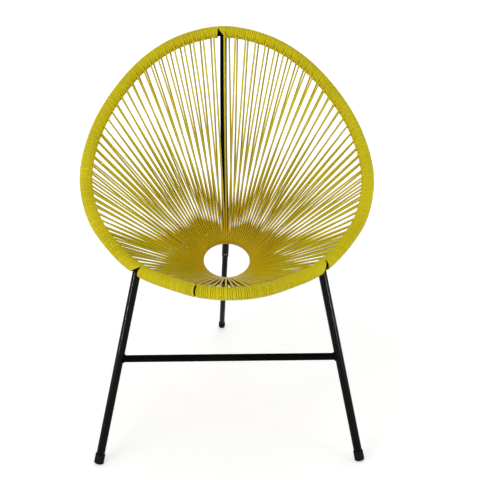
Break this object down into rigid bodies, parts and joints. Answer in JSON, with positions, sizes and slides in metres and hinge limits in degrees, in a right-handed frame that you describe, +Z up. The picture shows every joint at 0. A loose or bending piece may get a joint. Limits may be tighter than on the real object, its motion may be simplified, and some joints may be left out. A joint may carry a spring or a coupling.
{
  "type": "acapulco chair",
  "caption": "Round lounge chair: a bent tube hoop and a small seat ring laced together with taut vinyl cord, on two front legs and one rear leg.",
  "frame": {"origin": "on the floor, under the middle of the chair's box", "axes": "+Z up, -Y the way the sitter faces, +X to the right as seen from the front"},
  "size_m": [0.7002, 0.7378, 0.8823],
  "materials": {
    "black_steel": "gloss black powder coat",
    "yellow_cord": "satin soft vinyl cord, round, 4.5 mm",
    "black_rubber": "matt moulded rubber",
    "black_screw": "blackened steel with a domed head"
  },
  "bodies": {
    "root": {"rim_hoop": "black_steel", "seat_ring": "black_steel", "back_spine": "black_steel", "rear_leg": "black_steel", "cross_bar": "black_steel", "front_leg_right": "black_steel", "front_leg_left": "black_steel", "leg_spigot_right": "black_steel", "leg_spigot_left": "black_steel", "leg_screw_right": "black_screw", "leg_screw_left": "black_screw", "rear_screw": "black_screw", "foot_cap_right": "black_rubber", "foot_cap_left": "black_rubber", "foot_cap_rear": "black_rubber", "rim_winding_right": "yellow_cord", "rim_winding_left": "yellow_cord", "rim_winding_front_right": "yellow_cord", "rim_winding_front_left": "yellow_cord", "seat_lacing_01": "yellow_cord", "seat_lacing_02": "yellow_cord", "seat_lacing_03": "yellow_cord", "seat_lacing_04": "yellow_cord", "seat_lacing_05": "yellow_cord", "seat_lacing_06": "yellow_cord", "seat_lacing_07": "yellow_cord", "seat_lacing_08": "yellow_cord", "seat_lacing_09": "yellow_cord", "seat_lacing_10": "yellow_cord", "seat_lacing_11": "yellow_cord", "seat_lacing_12": "yellow_cord"}
  },
  "joints": []
}
